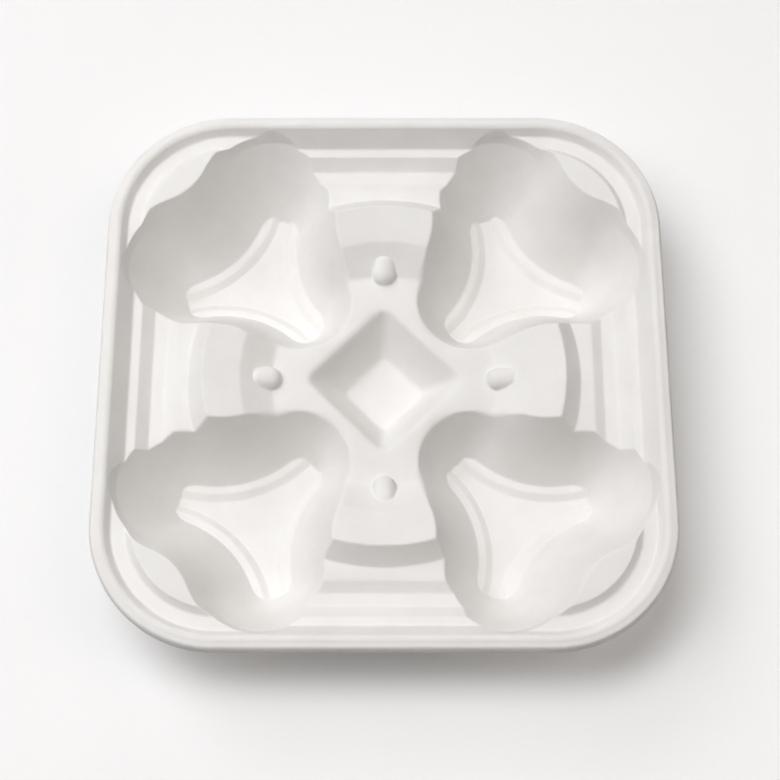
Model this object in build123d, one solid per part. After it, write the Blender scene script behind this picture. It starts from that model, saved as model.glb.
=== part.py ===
from build123d import *

import os
from math import asin, cos, degrees, hypot, radians, sin, sqrt, tan

# A carrier for four cups, pressed from wet pulp as one sheet of even wall. Lengths are in millimetres.
# It stands on the floors of its four wells at z = 0, with its axis of symmetry on Z.
# Drops are measured down from the inner edge of the rim, which is the top of the tray.

# Overall form
width = 215.0
height = 40.3
wall = 1.8
corner_radius = 47.5
bend_radius = 0.8

# Rim and the steps inside it, from the outside in
rim_width = 5.1
lip_width = 1.9
lip_drop = 3.0
crown_width = 1.3
crown_drop = 0.4
rim_wall_run = 5.5
ledge_drop = 9.0
ledge_width = 3.5
groove_wall_run = 4.6
groove_drop = 13.5
groove_width = 4.9
plateau_rise_run = 4.2
plateau_drop = 10.5

# Ring of four fan-shaped blocks about the middle, by radius from the tray's axis
fan_outer_foot = 74.9
fan_outer_top = 68.7
fan_outer_drop = 2.5
fan_inner_top = 54.7
fan_inner_drop = 6.0
fan_inner_foot = 43.0

# Middle of the tray: a low mound with a square pit, turned by 45 degrees
mound_drop = 12.7
mound_slope = 0.09
pit_half_diagonal = 30.8
pit_depth = 17.8
pit_draft = 31.5
pit_corner_radius = 3.5
pit_floor_corner_radius = 1.2

# Rounded gussets between the mound and each fan block
gusset_radius = 43.6
gusset_width = 9.0
gusset_tip_radius = 2.5
gusset_length = 12.2
gusset_tilt = 27.0
gusset_sink = 0.9

# Cup wells, each with three lobes and three bulging walls. A well is set back from the tray's outer edges,
# by less at its mouth than at its floor, because it leans outwards. Its two outer lobes flare out to a
# shoulder and run on up more steeply, into the wall below the rim.
well_setback = 58.3
well_mouth_setback = 56.25
well_tip_reach = 31.0
well_bulge_reach = 14.2
well_bulge_radius = 45.0
well_draft = 29.2
shoulder_drop = 8.0
lobe_shoulder_flare = 1.25
lobe_mouth_flare = -1.0
floor_ledge_height = 2.2
floor_ledge_width = 3.0
floor_ledge_run = 2.6

# Shelf in each corner and the lens-shaped block on it, set back from the tray's outer edge
shelf_drop = 4.0
lens_setback = 12.7
lens_wall_run = 2.5
lens_drop = 1.0

# Room by which one form passes another, the level strip at a fan block's foot, and the turn past a corner
margin = 4.0
skirt = 1.0
lens_overrun = 20.0

half = width / 2
corner_axis = half - corner_radius
plateau_z = height - plateau_drop
mound_z = height - mound_drop
mound_peak = pit_half_diagonal - pit_corner_radius
floor_z = wall
wall_slope = rim_wall_run / ledge_drop
quarter_turns = [Rot(0, 0, 90 * k) for k in range(4)]

# One lobe of each well points at the tray's middle
well_turn = 225.0


def shifted(points, inset):
    """Points of a surface line that runs inwards, moved by inset into the material below it."""
    steps = [(b[0] - a[0], b[1] - a[1]) for a, b in zip(points, points[1:])]
    normals = [(-dz / hypot(dr, dz), dr / hypot(dr, dz)) for dr, dz in steps]
    before = [normals[0]] + normals
    after = normals + [normals[-1]]
    moved = []
    for (r, z), (ar, az), (br, bz) in zip(points, before, after):
        share = inset / (1 + ar * br + az * bz)
        moved.append((r + share * (ar + br), z + share * (az + bz)))
    return moved


def surface_line(reach, steps):
    """Points of a line that starts at a reach and runs inwards, from the run and the drop of each step."""
    points = []
    for run, drop in steps:
        reach -= run
        points.append((reach, height - drop))
    return points


def section(points, bottom, rounding=0.0):
    """Face in the XZ plane between a surface line and a level bottom."""
    top = FilletPolyline(*points, radius=rounding) if rounding else Polyline(*points)
    (first_r, first_z), (last_r, last_z) = points[0], points[-1]
    rest = Polyline((last_r, last_z), (last_r, bottom), (first_r, bottom), (first_r, first_z))
    return make_face(Plane.XZ * (top + rest))


def square_ring(points, inset, bottom):
    """Square block with round corners whose section, from outside in, is given by a surface line."""
    profile = section(shifted(points, inset), bottom, 0.0 if inset else bend_radius)
    side = Pos(0, -corner_axis, 0) * extrude(profile, amount=2 * corner_axis, dir=(0, 1, 0))
    turned = revolve(Pos(-corner_axis, 0, 0) * profile, Axis.Z, revolution_arc=90)
    corner = Pos(corner_axis, corner_axis, 0) * turned
    first, *others = [turn * piece for turn in quarter_turns for piece in (side, corner)]
    return first + others


def rim(inset, bottom):
    """Rolled rim, with its inner wall carried on down."""
    steps = [
        (0, lip_drop),
        (lip_width, crown_drop),
        (crown_width, 0),
        (rim_width - lip_width - crown_width, 0),
        (wall_slope * height, height),
    ]
    points = surface_line(half, steps)
    (lip_r, lip_z), (crown_r, crown_z) = points[0], points[1]
    slope = (lip_z - crown_z) / (lip_r - crown_r)
    points[0] = (lip_r + 2 * inset, lip_z + 2 * inset * slope)
    return square_ring(points, inset, bottom)


def side_steps(inset, bottom):
    """Ledge and groove inside the rim, and the plateau on which the wells and the middle stand."""
    steps = [
        (-margin, ledge_drop),
        (margin + ledge_width, ledge_drop),
        (groove_wall_run, groove_drop),
        (groove_width, groove_drop),
        (plateau_rise_run, plateau_drop),
    ]
    points = surface_line(half - rim_width - wall_slope * ledge_drop, steps)
    points.append((corner_axis, plateau_z))
    depth = plateau_z - inset - bottom
    core = Box(2 * corner_axis, 2 * corner_axis, depth, align=(Align.CENTER, Align.CENTER, Align.MIN))
    return square_ring(points, inset, bottom) + Pos(0, 0, bottom) * core


def fan_ring(inset, bottom):
    """Ring of which the wells leave four fan-shaped blocks."""
    run = fan_inner_top - fan_inner_foot
    fall = mound_drop + mound_slope * (fan_inner_foot - mound_peak) - fan_inner_drop
    steps = [
        (-skirt, plateau_drop),
        (skirt, plateau_drop),
        (fan_outer_foot - fan_outer_top, fan_outer_drop),
        (fan_outer_top - fan_inner_top, fan_inner_drop),
        (run + margin, fan_inner_drop + fall * (run + margin) / run),
    ]
    points = surface_line(fan_outer_foot, steps)
    return revolve(section(shifted(points, inset), bottom), Axis.Z)


def low_pyramid(half_side, slope, top, bottom):
    """Square block with a flat top that falls away gently on four sides."""
    reach = fan_outer_top
    fall = slope * (reach - half_side)
    low = Pos(0, 0, top - fall) * Rectangle(2 * reach, 2 * reach)
    high = Pos(0, 0, top) * Rectangle(2 * half_side, 2 * half_side)
    block = extrude(low, amount=top - fall - bottom, dir=(0, 0, -1))
    return block + loft([low, high], ruled=True)


def mound(inset, bottom):
    """Middle of the tray, which falls away on eight sides from the edge of the pit."""
    top = mound_z - inset
    square = low_pyramid(mound_peak, mound_slope, top, bottom)
    turned = low_pyramid(mound_peak / sqrt(2), mound_slope / sqrt(2), top, bottom)
    return square & Rot(0, 0, 45) * turned


def lens(inset, bottom):
    """Shelf in a corner with a quarter-round block on it, of which the well leaves a lens."""
    foot = corner_radius - lens_setback
    wall_foot = corner_radius - rim_width - wall_slope * shelf_drop
    steps = [
        (-margin, shelf_drop),
        (margin + wall_foot - foot, shelf_drop),
        (lens_wall_run, lens_drop),
        (foot - lens_wall_run, lens_drop),
    ]
    profile = section(shifted(surface_line(wall_foot, steps), inset), bottom)
    block = revolve(profile, Axis.Z, revolution_arc=90 + 2 * lens_overrun)
    return Pos(corner_axis, corner_axis, 0) * Rot(0, 0, -lens_overrun) * block


def well_outline(growth, flare):
    """Face with three round lobes joined by three arcs that bulge inwards, all tangent."""
    bulge_centre = well_bulge_reach + well_bulge_radius
    bulge = well_bulge_radius - growth

    def polar(radius, angle):
        return Vector(radius * cos(radians(angle)), radius * sin(radians(angle)))

    def lobe(angle, reach):
        fixed = reach**2 + bulge_centre**2 - reach * bulge_centre - bulge**2
        radius = fixed / (2 * bulge + 2 * reach - bulge_centre)
        centre = polar(reach - radius, angle)
        before, after = polar(bulge_centre, angle - 60) - centre, polar(bulge_centre, angle + 60) - centre
        return centre + before.normalized() * radius, polar(reach, angle), centre + after.normalized() * radius

    tip_reach = well_tip_reach + growth
    lobes = [lobe(0, tip_reach), lobe(120, tip_reach + flare), lobe(240, tip_reach + flare)]
    arcs = [ThreePointArc(*points) for points in lobes]
    for k in range(3):
        waist = polar(bulge_centre - bulge, 60 + 120 * k)
        arcs.append(ThreePointArc(lobes[k][2], waist, lobes[(k + 1) % 3][0]))
    return make_face(arcs)


def well(inset):
    """Cutting form of one cup well, with one lobe towards +X and raised ledges along its floor."""
    draft = tan(radians(well_draft))
    side = inset / cos(radians(well_draft))
    lean = (well_setback - well_mouth_setback) * sqrt(2) / (height - floor_z)
    shoulder = height - shoulder_drop
    low_rate = lobe_shoulder_flare / (shoulder - floor_z)
    high_rate = (lobe_mouth_flare - lobe_shoulder_flare) / shoulder_drop
    outlines = []
    for z, rate in ((floor_z - inset, low_rate), (shoulder, low_rate), (height + margin, high_rate)):
        rise = z - floor_z
        flare = lobe_shoulder_flare + rate * (z - shoulder)
        outlines.append(Pos(-lean * rise, 0, z) * well_outline(draft * rise + side, flare))
    form = loft(outlines, ruled=True)

    slant = floor_ledge_run / floor_ledge_height
    ledge_top = floor_z + floor_ledge_height - inset
    ledge_radius = well_bulge_radius - floor_ledge_height * draft + floor_ledge_width
    top_radius = ledge_radius - inset * (sqrt(1 + slant**2) - slant)
    depth = floor_ledge_height + margin
    ledge = Cone(top_radius + depth * slant, top_radius, depth, align=(Align.CENTER, Align.CENTER, Align.MAX))
    placed = Pos(well_bulge_reach + well_bulge_radius, 0, ledge_top) * ledge
    return form - [Rot(0, 0, angle) * placed for angle in (60, 180, 300)]


def pit(inset):
    """Cutting form of the square pit, turned by 45 degrees."""
    lean = tan(radians(pit_draft))
    side = inset / cos(radians(pit_draft))
    rim_half = pit_half_diagonal / sqrt(2)
    floor_half = rim_half - pit_depth * lean
    floor = mound_z - pit_depth - inset
    low_half = floor_half + side - inset * lean
    high_half = rim_half + margin * lean + side
    low = Pos(0, 0, floor) * RectangleRounded(2 * low_half, 2 * low_half, pit_floor_corner_radius + inset)
    high = Pos(0, 0, mound_z + margin) * RectangleRounded(2 * high_half, 2 * high_half, pit_corner_radius + inset)
    return Rot(0, 0, 45) * loft([low, high], ruled=True)


def gusset(inset):
    """Egg-shaped bump at the foot of a fan block, with its slim end up the block's wall."""
    ball = gusset_width / 2 - inset
    tip = gusset_tip_radius - inset
    reach = gusset_length - gusset_width / 2 - gusset_tip_radius
    taper = degrees(asin((ball - tip) / reach))
    blunt_end = CenterArc((0, 0), ball, 90 - taper, 90 + taper)
    slim_end = CenterArc((reach, 0), tip, 0, 90 - taper)
    side = Line(slim_end @ 1, blunt_end @ 0)
    profile = make_face([slim_end, side, blunt_end, Line(blunt_end @ 1, slim_end @ 0)])
    egg = Rot(-90, 0, 0) * revolve(profile, Axis.X)
    return Pos(gusset_radius, 0, mound_z - gusset_sink) * Rot(0, -gusset_tilt, 0) * egg


def tray_form(inset):
    """Solid below the tray's upper surface, with each face moved into the material by inset."""
    bottom = -margin - inset
    centre = half - well_setback
    hollow = Cylinder((fan_inner_top + fan_outer_top) / 2, 4 * height)
    form = side_steps(inset, bottom) - hollow + fan_ring(inset, bottom) + mound(inset, bottom)
    form += [turn * lens(inset, bottom) for turn in quarter_turns]
    form += rim(inset, bottom)
    cup_well = Pos(centre, centre, 0) * Rot(0, 0, well_turn) * well(inset)
    form -= [turn * cup_well for turn in quarter_turns]
    form -= pit(inset)
    return form + [turn * gusset(inset) for turn in quarter_turns]


cup_carrier = tray_form(0) - tray_form(wall)

os.makedirs("parts", exist_ok=True)
export_step(cup_carrier, "parts/cup_carrier.step")
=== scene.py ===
"""Looks of a cup carrier of white moulded pulp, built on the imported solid."""
import math

import bpy
import numpy as np
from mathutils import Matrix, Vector


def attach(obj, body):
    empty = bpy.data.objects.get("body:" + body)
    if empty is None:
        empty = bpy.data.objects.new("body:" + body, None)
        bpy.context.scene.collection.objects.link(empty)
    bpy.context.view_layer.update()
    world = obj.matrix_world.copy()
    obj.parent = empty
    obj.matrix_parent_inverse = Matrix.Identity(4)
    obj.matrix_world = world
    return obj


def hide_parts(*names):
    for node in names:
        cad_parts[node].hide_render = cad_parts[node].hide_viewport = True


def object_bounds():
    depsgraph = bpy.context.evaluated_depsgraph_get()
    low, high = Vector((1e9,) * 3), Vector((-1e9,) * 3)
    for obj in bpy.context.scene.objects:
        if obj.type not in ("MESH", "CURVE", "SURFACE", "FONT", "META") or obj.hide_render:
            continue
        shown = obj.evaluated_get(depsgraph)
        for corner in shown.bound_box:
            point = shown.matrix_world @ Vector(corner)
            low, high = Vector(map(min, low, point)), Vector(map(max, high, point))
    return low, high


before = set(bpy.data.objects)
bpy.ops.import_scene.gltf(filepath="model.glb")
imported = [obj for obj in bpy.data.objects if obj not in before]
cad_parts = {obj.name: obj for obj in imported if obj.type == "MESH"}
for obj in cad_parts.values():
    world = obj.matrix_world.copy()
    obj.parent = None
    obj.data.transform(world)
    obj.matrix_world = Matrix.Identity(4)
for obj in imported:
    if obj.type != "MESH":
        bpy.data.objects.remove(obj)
cad_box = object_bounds()
scene = bpy.context.scene
scene.view_settings.view_transform = "Standard"

# All lengths are in metres. A ramp is a pair of lengths: a weight is 0 at the first and 1 at the second.

# Outline of the tray
HALF_WIDTH = cad_box[1][0]
RIM_HEIGHT = cad_box[1][2]
CORNER_RADIUS = 0.0475

# How finely the solid is cut, and how many triangles are kept of that
WELD_GAP = 1e-6
VOXEL = 0.00037
TRIANGLES = 190000

# Softening: how far a point goes towards its neighbours in one pass, and the passes over the whole sheet,
# which leave most of the thin lip at the outer edge as it is
SOFT_STEP = 0.5
SOFT_PASSES = 1
LIP_HOLD = 0.15
LIP_RAMP = (0.0012, 0.0045)

# Rounding of outward edges, from the rim inwards, and only this share of it on the wells' low floors
ROUND_PASSES = 12
ROUND_RAMP = (0.014, 0.034)
FLOOR_RAMP = (0.008, 0.020)
FLOOR_ROUNDING = 0.2

# Filling of inward corners, in the middle pit and in a ring along the feet of the fan blocks
BLEND_PASSES = 60
PIT_PASSES = 40
PIT_RAMP = (0.0415, 0.0365)
FOOT_RADIUS = 0.0435
FOOT_RAMP = (0.0065, 0.0030)

# Gussets, one on each half axis: where they stand, how far round them edges stay as they are, and the
# stretch, along and across, in which their slim ends are widened
GUSSET_RADIUS = 0.0440
GUSSET_RAMP = (0.0050, 0.0075)
GUSSET_END = (0.0445, 0.0485)
GUSSET_FADE = (0.0540, 0.0505)
GUSSET_SIDE = (0.0080, 0.0030)
GUSSET_WIDENING = 0.35

# Upper side of the rim, as distances from the outer edge and drops below the top: a rolled lip, a flat band
# and a ridge along the inner edge. A point is on it if its normal points up by more than UPWARD.
RIM_REACH = (
    0.0, 0.0004, 0.0008, 0.0013, 0.0024, 0.0033,
    0.0037, 0.0042, 0.0046, 0.0050, 0.0053, 0.0056,
)
RIM_DROP = (
    0.0026, 0.0015, 0.0008, 0.0005, 0.00035, 0.00003,
    0.0, 0.00004, 0.00015, 0.00036, 0.00058, 0.00083,
)
RIM_DEPTH = 0.0052
UPWARD = 0.35

# Tones of the pulp, and its gloss
PALE_TONE = (0.818, 0.808, 0.797, 1)
DEEP_TONE = (0.782, 0.769, 0.753, 1)
SPECK_TONE = (0.70, 0.66, 0.60, 1)
PULP_ROUGHNESS = (0.78, 0.95)
PULP_SPECULAR = 0.2

# Detail of the pulp: repeats per metre, octaves of noise, and levels between which a pattern shows
CLOUD_SCALE = 70
CLOUD_OCTAVES = 4
CLOUD_LEVELS = (0.3, 0.7)
FIBRE_SCALE = 1100
FIBRE_OCTAVES = 3
FIBRE_CURL = 1.6
FIBRE_LEVELS = (0.62, 0.85)
GRAIN_SCALE = 2600
GRAIN_OCTAVES = 2
SPECK_SCALE = 260
SPECK_SIZE = (0.07, 0.03)
SPECK_CHOICE_SCALE = 630
SPECK_LEVELS = (0.62, 0.70)
MESH_SCALE = 260
MESH_WAVER = 0.4
MESH_FACING = (-0.1, -0.6)

# Bumps of the pulp: strength, and depth in metres
CLOUD_BUMP = (0.35, 0.00012)
FIBRE_BUMP = (0.5, 0.00004)
GRAIN_BUMP = (0.5, 0.00002)
MESH_BUMP = (0.6, 0.0001)

# Round soft lamps: name, azimuth and elevation in degrees, distance in metres, power in watts
KEY_LAMPS = (
    ("left_lamp", 180, 60, 1.3, 4.9),
    ("top_lamp", 150, 78, 1.3, 6.4),
    ("corner_lamp", 135, 45, 1.8, 6.6),
)
FILL_LAMPS = (
    ("right_lamp", 0, 60, 4.0, 20.0),
    ("low_back_lamp", 90, 28, 4.0, 11.0),
    ("low_left_lamp", 180, 28, 4.0, 6.0),
    ("low_right_lamp", 0, 28, 4.0, 10.0),
)
KEY_COLOUR = (0.978, 0.986, 1.0)
FILL_COLOUR = (1.0, 0.965, 0.915)
LAMP_SPREAD = 0.45
AMBIENT_COLOUR = (1.0, 0.82, 0.66, 1)
AMBIENT = 0.08

# Floor, paler away from the key lamps, so that it looks even; how far it is lifted for the camera
FLOOR_REACH = 4
NEAR_FLOOR = (0.755, 0.753, 0.757, 1)
FAR_FLOOR = (0.855, 0.853, 0.858, 1)
FLOOR_AXIS = (0.85, -0.53, 0)
FLOOR_SPAN = 0.18
FLOOR_LIFT = 0.14
FLOOR_ROUGHNESS = 0.9
FLOOR_SPECULAR = 0.1

# Camera, from the photograph; its sensor and lens are in millimetres
CAMERA_ELEVATION = math.radians(68.42)
CAMERA_DISTANCE = 0.6494
SENSOR = 36
LENS = 79.85
SHIFT = (0.0074, -0.0305)


def rise(values, limits):
    """Values stretched so that they go from 0 to 1 between two limits."""
    low, high = limits
    return np.clip((values - low) / (high - low), 0, 1)


def edge_distance(points):
    """Distance of each point, in plan, from the outer edge of the tray towards its middle."""
    reach = np.abs(points[:, :2]) - (HALF_WIDTH - CORNER_RADIUS)
    outside = np.linalg.norm(np.maximum(reach, 0), axis=1)
    inside = np.minimum(reach.max(axis=1), 0)
    return CORNER_RADIUS - outside - inside


def off_gussets(points):
    """0 on the gussets, and 1 clear of them."""
    spread = np.abs(points[:, :2])
    return rise(np.hypot(spread.max(axis=1) - GUSSET_RADIUS, spread.min(axis=1)), GUSSET_RAMP)


def in_pit(points):
    """1 in the pit and at its mouth, and 0 clear of it."""
    return rise(np.abs(points[:, :2]).sum(axis=1), PIT_RAMP)


def rounding(points):
    """How much outward edges are rounded: not on the rim and the gussets, and little on the floors."""
    inside = rise(edge_distance(points), ROUND_RAMP)
    high = FLOOR_ROUNDING + (1 - FLOOR_ROUNDING) * rise(points[:, 2], FLOOR_RAMP)
    return inside * high * off_gussets(points)


def blending(points):
    """How much inward corners are filled: in the pit, and along the fans' feet beside the gussets."""
    from_foot = np.abs(np.linalg.norm(points[:, :2], axis=1) - FOOT_RADIUS)
    at_foot = rise(from_foot, FOOT_RAMP) * rise(points[:, 2], FLOOR_RAMP)
    return np.maximum(in_pit(points), at_foot * off_gussets(points))


def relax(points, edges, weight, passes, normals=None):
    """Moves points towards the mean of their neighbours, and only into the sheet if normals are given."""
    edges = edges[(weight[edges] > 0).any(axis=1)]
    count = np.maximum(np.bincount(edges.ravel(), minlength=len(points)), 1)
    for _ in range(passes):
        mean = np.empty_like(points)
        for axis in range(3):
            value = points[:, axis]
            total = np.bincount(edges[:, 0], value[edges[:, 1]], len(points))
            total += np.bincount(edges[:, 1], value[edges[:, 0]], len(points))
            mean[:, axis] = total / count
        move = (weight * SOFT_STEP)[:, None] * (mean - points)
        if normals is not None:
            move = np.minimum((move * normals).sum(axis=1), 0)[:, None] * normals
        points += move


def widen_gussets(points):
    """Blunts the slim ends of the gussets, by moving their sides apart."""
    for along, across in ((0, 1), (1, 0)):
        reach = np.abs(points[:, along])
        end = rise(reach, GUSSET_END) * rise(reach, GUSSET_FADE)
        side = rise(np.abs(points[:, across]), GUSSET_SIDE)
        points[:, across] *= 1 + GUSSET_WIDENING * end * side


def shape_rim(points, normals):
    """Brings the upper side of the rim to its bands."""
    reach = edge_distance(points)
    high = points[:, 2] > RIM_HEIGHT - RIM_DEPTH
    top = (reach < RIM_REACH[-1]) & (normals[:, 2] > UPWARD) & high
    points[top, 2] = RIM_HEIGHT - np.interp(reach[top], RIM_REACH, RIM_DROP)


def settle(piece):
    """Replaces a piece's mesh by what its modifiers make of it."""
    graph = bpy.context.evaluated_depsgraph_get()
    made = bpy.data.meshes.new_from_object(piece.evaluated_get(graph))
    piece.modifiers.clear()
    piece.data = made


def rows(items, name, width, kind=np.float64):
    """A value of each of a mesh's points or edges, as rows of an array."""
    values = np.empty(len(items) * width, dtype=kind)
    items.foreach_get(name, values)
    return values.reshape(-1, width)


def place_points(mesh, points):
    """Moves a mesh's points."""
    mesh.vertices.foreach_set("co", points.ravel())
    mesh.update()


def soften(mesh):
    """Rounds and fills a fine mesh's edges, and shapes its rim, as pulp comes out of its mould."""
    points = rows(mesh.vertices, "co", 3)
    edges = rows(mesh.edges, "vertices", 2, np.int64)
    weight = LIP_HOLD + (1 - LIP_HOLD) * rise(edge_distance(points), LIP_RAMP)
    relax(points, edges, weight, SOFT_PASSES)
    relax(points, edges, blending(points), BLEND_PASSES)
    relax(points, edges, in_pit(points), PIT_PASSES)
    place_points(mesh, points)
    normals = rows(mesh.vertex_normals, "vector", 3)
    relax(points, edges, rounding(points), ROUND_PASSES, normals)
    widen_gussets(points)
    shape_rim(points, normals)
    place_points(mesh, points)


def pressed_sheet(name, solid):
    """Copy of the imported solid, cut finely, softened and thinned."""
    piece = bpy.data.objects.new(name, solid.data.copy())
    scene.collection.objects.link(piece)
    bpy.context.view_layer.objects.active = piece
    weld = piece.modifiers.new("weld", "WELD")
    weld.merge_threshold = WELD_GAP
    fine = piece.modifiers.new("fine", "REMESH")
    fine.mode = "VOXEL"
    fine.voxel_size = VOXEL
    settle(piece)
    soften(piece.data)
    thin = piece.modifiers.new("thin", "DECIMATE")
    thin.ratio = TRIANGLES / (2 * len(piece.data.polygons))
    settle(piece)
    piece.data.polygons.foreach_set("use_smooth", [True] * len(piece.data.polygons))
    piece.modifiers.new("shading", "WEIGHTED_NORMAL")
    settle(piece)
    return piece


def node(tree, kind, links=None, **values):
    """Adds a shader node, sets its sockets by name and links others from given outputs."""
    made = tree.nodes.new(kind)
    for name, value in values.items():
        made.inputs[name.replace("_", " ")].default_value = value
    for name, output in (links or {}).items():
        tree.links.new(output, made.inputs[name])
    return made


def noise(tree, place, scale, octaves, distortion=0.0):
    """Height between 0 and 1 of a noise of a given scale."""
    values = {"Scale": scale, "Detail": octaves, "Distortion": distortion}
    return node(tree, "ShaderNodeTexNoise", {"Vector": place}, **values).outputs["Fac"]


def ramp(tree, factor, levels):
    """Factor stretched so that it runs from 0 to 1 between two levels."""
    low, high = levels
    made = node(tree, "ShaderNodeMapRange", {"Value": factor}, From_Min=low, From_Max=high)
    return made.outputs["Result"]


def product(tree, first, second):
    """Two factors multiplied."""
    made = tree.nodes.new("ShaderNodeMath")
    made.operation = "MULTIPLY"
    tree.links.new(first, made.inputs[0])
    tree.links.new(second, made.inputs[1])
    return made.outputs["Value"]


def blend(tree, factor, low, high):
    """Colour that goes from one to another, each a tone or an output, with a factor."""
    made = tree.nodes.new("ShaderNodeMix")
    made.data_type = "RGBA"
    tree.links.new(factor, made.inputs["Factor"])
    for socket, colour in ((made.inputs[6], low), (made.inputs[7], high)):
        if isinstance(colour, tuple):
            socket.default_value = colour
        else:
            tree.links.new(colour, socket)
    return made.outputs[2]


def bump(tree, height, amount, under=None):
    """Normal that follows a height, with a strength and a depth, on top of another normal."""
    strength, depth = amount
    links = {"Height": height}
    if under is not None:
        links["Normal"] = under
    made = node(tree, "ShaderNodeBump", links, Strength=strength, Distance=depth)
    return made.outputs["Normal"]


def specks(tree, place):
    """1 in a few small specks, each in the middle of a cell that is picked by a noise."""
    cells = node(tree, "ShaderNodeTexVoronoi", {"Vector": place}, Scale=SPECK_SCALE)
    near = ramp(tree, cells.outputs["Distance"], SPECK_SIZE)
    choice = noise(tree, cells.outputs["Position"], SPECK_CHOICE_SCALE, 0)
    return product(tree, near, ramp(tree, choice, SPECK_LEVELS))


def mesh_mark(tree, place):
    """Height of the mould's wire mesh, on surfaces that face down."""
    normal = tree.nodes.new("ShaderNodeNewGeometry").outputs["Normal"]
    facing = node(tree, "ShaderNodeSeparateXYZ", {"Vector": normal})
    mark = ramp(tree, facing.outputs["Z"], MESH_FACING)
    for direction in ("X", "Y"):
        wires = node(tree, "ShaderNodeTexWave", {"Vector": place}, Scale=MESH_SCALE, Distortion=MESH_WAVER)
        wires.bands_direction = direction
        mark = product(tree, mark, wires.outputs["Fac"])
    return mark


def pulp_material():
    """White pulp: faint clouds, fibres and specks, a fine grain, and the mould's wire mesh below."""
    material = bpy.data.materials.new("white_pulp")
    material.use_nodes = True
    tree = material.node_tree
    place = tree.nodes.new("ShaderNodeTexCoord").outputs["Object"]
    clouds = noise(tree, place, CLOUD_SCALE, CLOUD_OCTAVES)
    fibres = noise(tree, place, FIBRE_SCALE, FIBRE_OCTAVES, FIBRE_CURL)
    grain = noise(tree, place, GRAIN_SCALE, GRAIN_OCTAVES)

    tone = blend(tree, ramp(tree, clouds, CLOUD_LEVELS), DEEP_TONE, PALE_TONE)
    tone = blend(tree, ramp(tree, fibres, FIBRE_LEVELS), tone, PALE_TONE)
    tone = blend(tree, specks(tree, place), tone, SPECK_TONE)

    normal = bump(tree, clouds, CLOUD_BUMP)
    normal = bump(tree, fibres, FIBRE_BUMP, normal)
    normal = bump(tree, grain, GRAIN_BUMP, normal)
    normal = bump(tree, mesh_mark(tree, place), MESH_BUMP, normal)

    smooth, matt = PULP_ROUGHNESS
    rough = node(tree, "ShaderNodeMapRange", {"Value": fibres}, To_Min=smooth, To_Max=matt)
    shader = tree.nodes["Principled BSDF"]
    shader.inputs["Specular IOR Level"].default_value = PULP_SPECULAR
    tree.links.new(tone, shader.inputs["Base Color"])
    tree.links.new(rough.outputs["Result"], shader.inputs["Roughness"])
    tree.links.new(normal, shader.inputs["Normal"])
    return material


def floor_material():
    """Pale floor that takes the tray's shadow and is lifted towards white only for the camera."""
    material = bpy.data.materials.new("pale_floor")
    material.use_nodes = True
    tree = material.node_tree
    paper = tree.nodes["Principled BSDF"]
    paper.inputs["Roughness"].default_value = FLOOR_ROUGHNESS
    paper.inputs["Specular IOR Level"].default_value = FLOOR_SPECULAR
    along = tree.nodes.new("ShaderNodeVectorMath")
    along.operation = "DOT_PRODUCT"
    along.inputs[1].default_value = FLOOR_AXIS
    tree.links.new(tree.nodes.new("ShaderNodeTexCoord").outputs["Object"], along.inputs[0])
    far = ramp(tree, along.outputs["Value"], (-FLOOR_SPAN, FLOOR_SPAN))
    tree.links.new(blend(tree, far, NEAR_FLOOR, FAR_FLOOR), paper.inputs["Base Color"])

    glow = node(tree, "ShaderNodeEmission", Strength=FLOOR_LIFT)
    lifted = tree.nodes.new("ShaderNodeAddShader")
    tree.links.new(paper.outputs["BSDF"], lifted.inputs[0])
    tree.links.new(glow.outputs["Emission"], lifted.inputs[1])
    seen = tree.nodes.new("ShaderNodeMixShader")
    tree.links.new(tree.nodes.new("ShaderNodeLightPath").outputs["Is Camera Ray"], seen.inputs["Fac"])
    tree.links.new(paper.outputs["BSDF"], seen.inputs[1])
    tree.links.new(lifted.outputs["Shader"], seen.inputs[2])
    tree.links.new(seen.outputs["Shader"], tree.nodes["Material Output"].inputs["Surface"])
    return material


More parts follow.
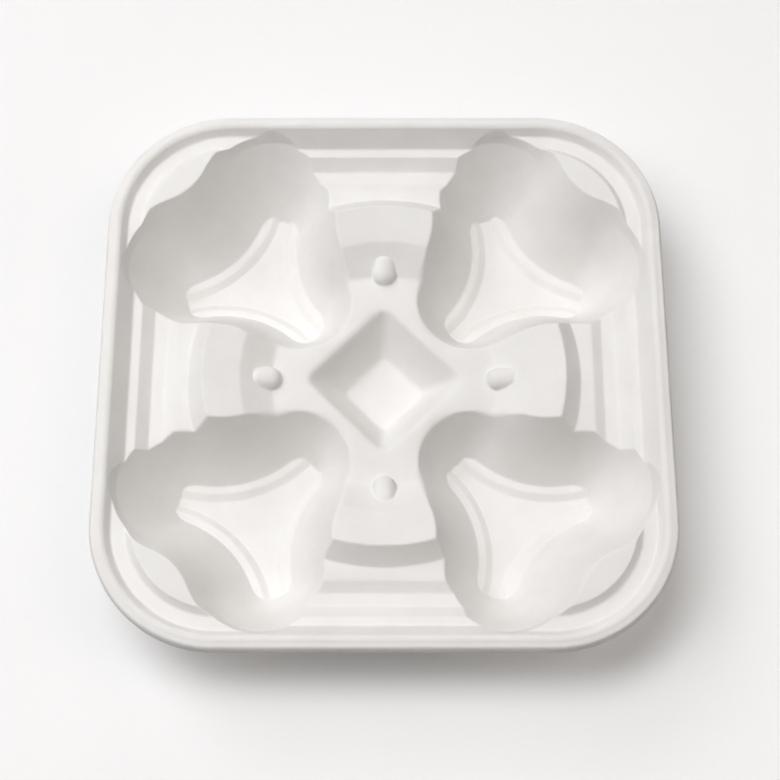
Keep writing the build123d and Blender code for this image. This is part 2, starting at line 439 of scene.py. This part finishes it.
def aim(item, out, distance, target):
    """Puts a lamp or camera at a distance from a target, in a direction, and turns it to the target."""
    item.location = target + out * distance
    item.rotation_euler = (-out).to_track_quat("-Z", "Y").to_euler()
    scene.collection.objects.link(item)


def soft_lamp(colour, name, azimuth, elevation, distance, power):
    """Round soft lamp that looks at the tray from a given direction."""
    data = bpy.data.lights.new(name, "AREA")
    data.shape = "DISK"
    data.size = LAMP_SPREAD * distance
    data.energy = power
    data.color = colour
    turn, tilt = math.radians(azimuth), math.radians(elevation)
    out = Vector((math.cos(turn) * math.cos(tilt), math.sin(turn) * math.cos(tilt), math.sin(tilt)))
    aim(bpy.data.objects.new(name, data), out, distance, Vector((0, 0, 0)))


tray = pressed_sheet("tray_sheet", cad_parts["cup_carrier"])
tray.data.materials.clear()
tray.data.materials.append(pulp_material())
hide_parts("cup_carrier")
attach(tray, "root")

floor_mesh = bpy.data.meshes.new("floor")
floor_corners = [(x * FLOOR_REACH, y * FLOOR_REACH, 0) for x, y in ((-1, -1), (1, -1), (1, 1), (-1, 1))]
floor_mesh.from_pydata(floor_corners, [], [(0, 1, 2, 3)])
floor_mesh.materials.append(floor_material())
floor = bpy.data.objects.new("floor", floor_mesh)
scene.collection.objects.link(floor)

world = bpy.data.worlds.new("studio")
scene.world = world
world.use_nodes = True
world.node_tree.nodes["Background"].inputs["Color"].default_value = AMBIENT_COLOUR
world.node_tree.nodes["Background"].inputs["Strength"].default_value = AMBIENT
for lamp in KEY_LAMPS:
    soft_lamp(KEY_COLOUR, *lamp)
for lamp in FILL_LAMPS:
    soft_lamp(FILL_COLOUR, *lamp)

camera_data = bpy.data.cameras.new("camera")
camera_data.lens = LENS
camera_data.sensor_width = SENSOR
camera_data.shift_x, camera_data.shift_y = SHIFT
camera = bpy.data.objects.new("camera", camera_data)
camera_out = Vector((0, -math.cos(CAMERA_ELEVATION), math.sin(CAMERA_ELEVATION)))
aim(camera, camera_out, CAMERA_DISTANCE, Vector((0, 0, RIM_HEIGHT)))
scene.camera = camera
